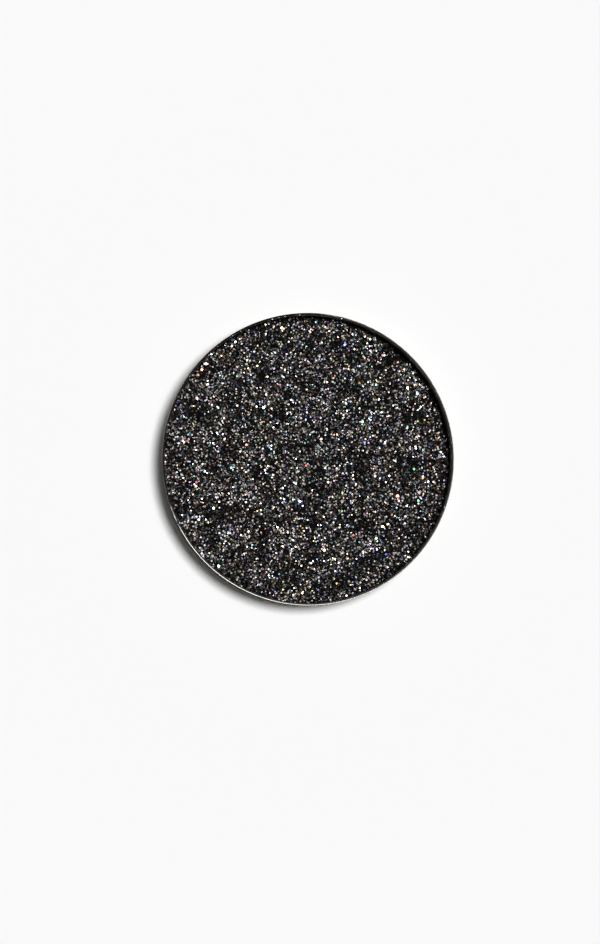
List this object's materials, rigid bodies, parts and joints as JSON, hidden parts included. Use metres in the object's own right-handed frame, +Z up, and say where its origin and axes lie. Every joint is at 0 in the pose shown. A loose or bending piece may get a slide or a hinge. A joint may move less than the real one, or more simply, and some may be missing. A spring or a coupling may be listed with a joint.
{
  "type": "eyeshadow refill pan",
  "caption": "Round drawn tinplate refill pan filled with pressed black and holographic glitter, with a blank label under its raised base panel.",
  "frame": {"origin": "centre of the ring that the pan stands on", "axes": "+Z up through the middle of the pan, out of its open top; the pan is round, so +X and +Y are free"},
  "size_m": [0.026, 0.026, 0.004],
  "materials": {
    "tinplate": "satin",
    "glitter_cake": "gloss",
    "label_paper": "matte"
  },
  "bodies": {
    "root": {"pan": "tinplate", "pressed_glitter": "glitter_cake", "base_label": "label_paper"}
  },
  "joints": []
}
